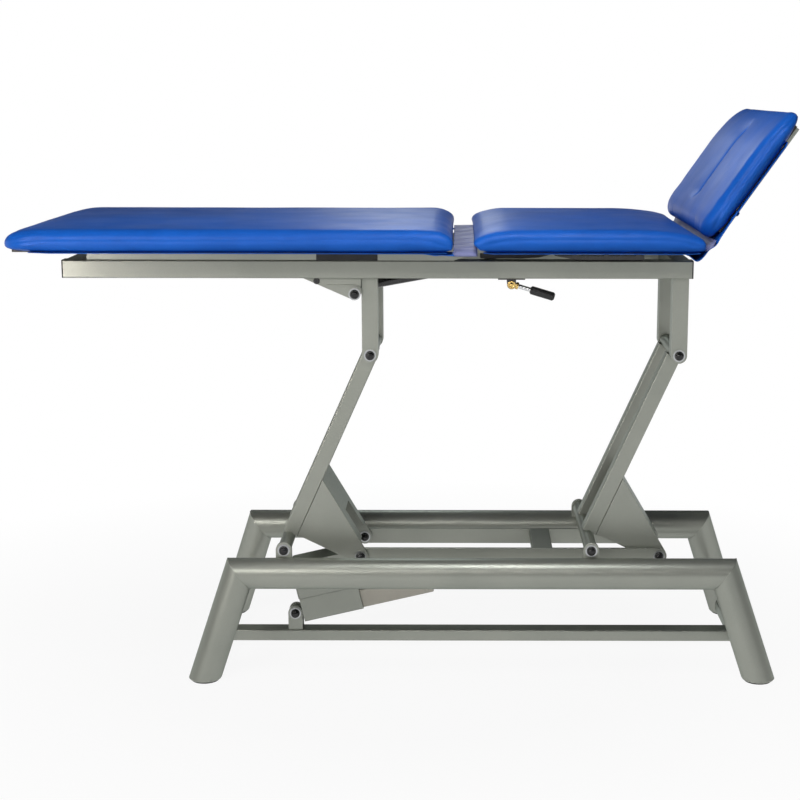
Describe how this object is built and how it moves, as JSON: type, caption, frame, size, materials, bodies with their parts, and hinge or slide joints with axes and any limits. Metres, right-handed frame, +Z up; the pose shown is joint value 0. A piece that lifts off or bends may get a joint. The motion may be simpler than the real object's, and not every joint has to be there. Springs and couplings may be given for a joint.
{
  "type": "treatment couch",
  "caption": "Height-adjustable treatment couch with three upholstered sections, a raised head section and a parallelogram lift on splayed tube legs.",
  "frame": {"origin": "on the floor, under the middle of the couch's length and width", "axes": "+X along the couch to the raised head section, +Y to the far side, +Z up"},
  "size_m": [1.6864, 0.7022, 1.2712],
  "materials": {
    "frame_paint": "satin",
    "foot_rubber": "matt",
    "black_caps": "gloss",
    "zinc_steel": "satin",
    "bush_plastic": "matt",
    "blue_vinyl": "satin",
    "cover_vinyl": "satin",
    "board_wood": "matt",
    "black_plastic": "matt",
    "tube_aluminium": "satin",
    "bright_steel": "gloss",
    "black_steel": "gloss",
    "grip_rubber": "matt",
    "brass_ring": "gloss"
  },
  "bodies": {
    "base": {"base_rail_front": "frame_paint", "base_rail_rear": "frame_paint", "leg_front_left": "frame_paint", "leg_front_right": "frame_paint", "leg_rear_left": "frame_paint", "leg_rear_right": "frame_paint", "foot_pads": "foot_rubber", "low_cross_tubes": "frame_paint", "stringer": "frame_paint", "pivot_lugs": "frame_paint", "base_pins": "zinc_steel", "base_pin_caps": "black_caps"},
    "left_crank": {"left_pivot_tube": "frame_paint", "left_upper_tube": "frame_paint", "left_bushes": "bush_plastic", "left_crank_arms": "frame_paint", "left_crank_plates": "frame_paint"},
    "right_crank": {"right_pivot_tube": "frame_paint", "right_upper_tube": "frame_paint", "right_bushes": "bush_plastic", "right_crank_arms": "frame_paint", "right_crank_plates": "frame_paint"},
    "link_frame": {"link_bars": "frame_paint", "link_brace": "frame_paint", "link_pins": "zinc_steel", "link_pin_caps": "black_caps"},
    "actuator_body": {"actuator_housing": "frame_paint", "actuator_tube": "tube_aluminium"},
    "actuator_push_rod": {"actuator_rod": "bright_steel"},
    "top_frame": {"top_rail_front": "frame_paint", "top_rail_rear": "frame_paint", "rail_end_plugs": "black_plastic", "top_cross_members": "frame_paint", "left_posts": "frame_paint", "right_posts": "frame_paint", "frame_pins": "zinc_steel", "frame_pin_caps": "black_caps", "spring_brackets": "frame_paint", "lever_bracket": "black_steel", "long_frame": "frame_paint", "hinge_arms": "frame_paint", "joint_covers": "black_plastic", "long_board": "board_wood", "long_cushion": "blue_vinyl", "mid_gap_cover": "cover_vinyl"},
    "middle_section": {"mid_bars": "frame_paint", "mid_support_bars": "black_steel", "mid_cross_tubes": "black_steel", "head_hinge_pins": "zinc_steel", "mid_board": "board_wood", "mid_cushion": "blue_vinyl", "head_gap_cover": "cover_vinyl"},
    "head_section": {"head_frame": "frame_paint", "head_board": "board_wood", "head_cushion": "blue_vinyl"},
    "spring_body": {"gas_spring_cylinder": "black_steel"},
    "spring_push_rod": {"gas_spring_rod": "bright_steel"},
    "release_lever": {"lever_arm": "bright_steel", "lever_ring": "brass_ring", "lever_grip": "grip_rubber"}
  },
  "joints": [
    {"name": "lift", "type": "hinge", "parent": "base", "child": "left_crank", "pos_m": [-0.2706, 0, 0.2894], "axis": [0, -1, 0], "range_deg": [-54, 0]},
    {"name": "right_crank_turn", "type": "hinge", "parent": "base", "child": "right_crank", "pos_m": [0.4227, 0, 0.2894], "axis": [0, -1, 0], "range_deg": [-54, 0]},
    {"name": "top_frame_level", "type": "hinge", "parent": "left_crank", "child": "top_frame", "pos_m": [-0.07573, 0, 0.72401], "axis": [0, -1, 0], "range_deg": [0, 54]},
    {"name": "link_level", "type": "hinge", "parent": "left_crank", "child": "link_frame", "pos_m": [-0.1039, 0, 0.2448], "axis": [0, -1, 0], "range_deg": [0, 54]},
    {"name": "actuator_swing", "type": "hinge", "parent": "base", "child": "actuator_body", "pos_m": [-0.2656, 0, 0.0815], "axis": [0, -1, 0], "range_deg": [-11.39, 0]},
    {"name": "push_rod_swing", "type": "hinge", "parent": "link_frame", "child": "actuator_push_rod", "pos_m": [0.3185, 0, 0.218], "axis": [0, -1, 0], "range_deg": [-11.55, 0]},
    {"name": "middle_section_lift", "type": "hinge", "parent": "top_frame", "child": "middle_section", "pos_m": [0.157, 0, 0.96451], "axis": [0, -1, 0], "range_deg": [0, 50]},
    {"name": "head_section_tilt", "type": "hinge", "parent": "middle_section", "child": "head_section", "pos_m": [0.649, 0, 0.96451], "axis": [0, -1, 0], "range_deg": [-80, 5]},
    {"name": "gas_spring_swing", "type": "hinge", "parent": "top_frame", "child": "spring_body", "pos_m": [-0.10873, 0, 0.86301], "axis": [0, -1, 0], "range_deg": [0, 6.65]},
    {"name": "spring_rod_swing", "type": "hinge", "parent": "middle_section", "child": "spring_push_rod", "pos_m": [0.195, 0, 0.91851], "axis": [0, -1, 0], "range_deg": [-43.45, 0]},
    {"name": "release_lever_pull", "type": "hinge", "parent": "top_frame", "child": "release_lever", "pos_m": [0.2399, -0.146, 0.88601], "axis": [0, -1, 0], "range_deg": [0, 12], "stiffness_Nm_per_rad": 2}
  ],
  "couplings": [
    {"joint": "right_crank_turn", "follows": "lift", "ratio": 1},
    {"joint": "top_frame_level", "follows": "lift", "ratio": -1},
    {"joint": "link_level", "follows": "lift", "ratio": -1},
    {"joint": "actuator_swing", "follows": "lift", "ratio": 0.21},
    {"joint": "push_rod_swing", "follows": "lift", "ratio": 0.213},
    {"joint": "gas_spring_swing", "follows": "middle_section_lift", "ratio": 0.132},
    {"joint": "spring_rod_swing", "follows": "middle_section_lift", "ratio": -0.868}
  ]
}
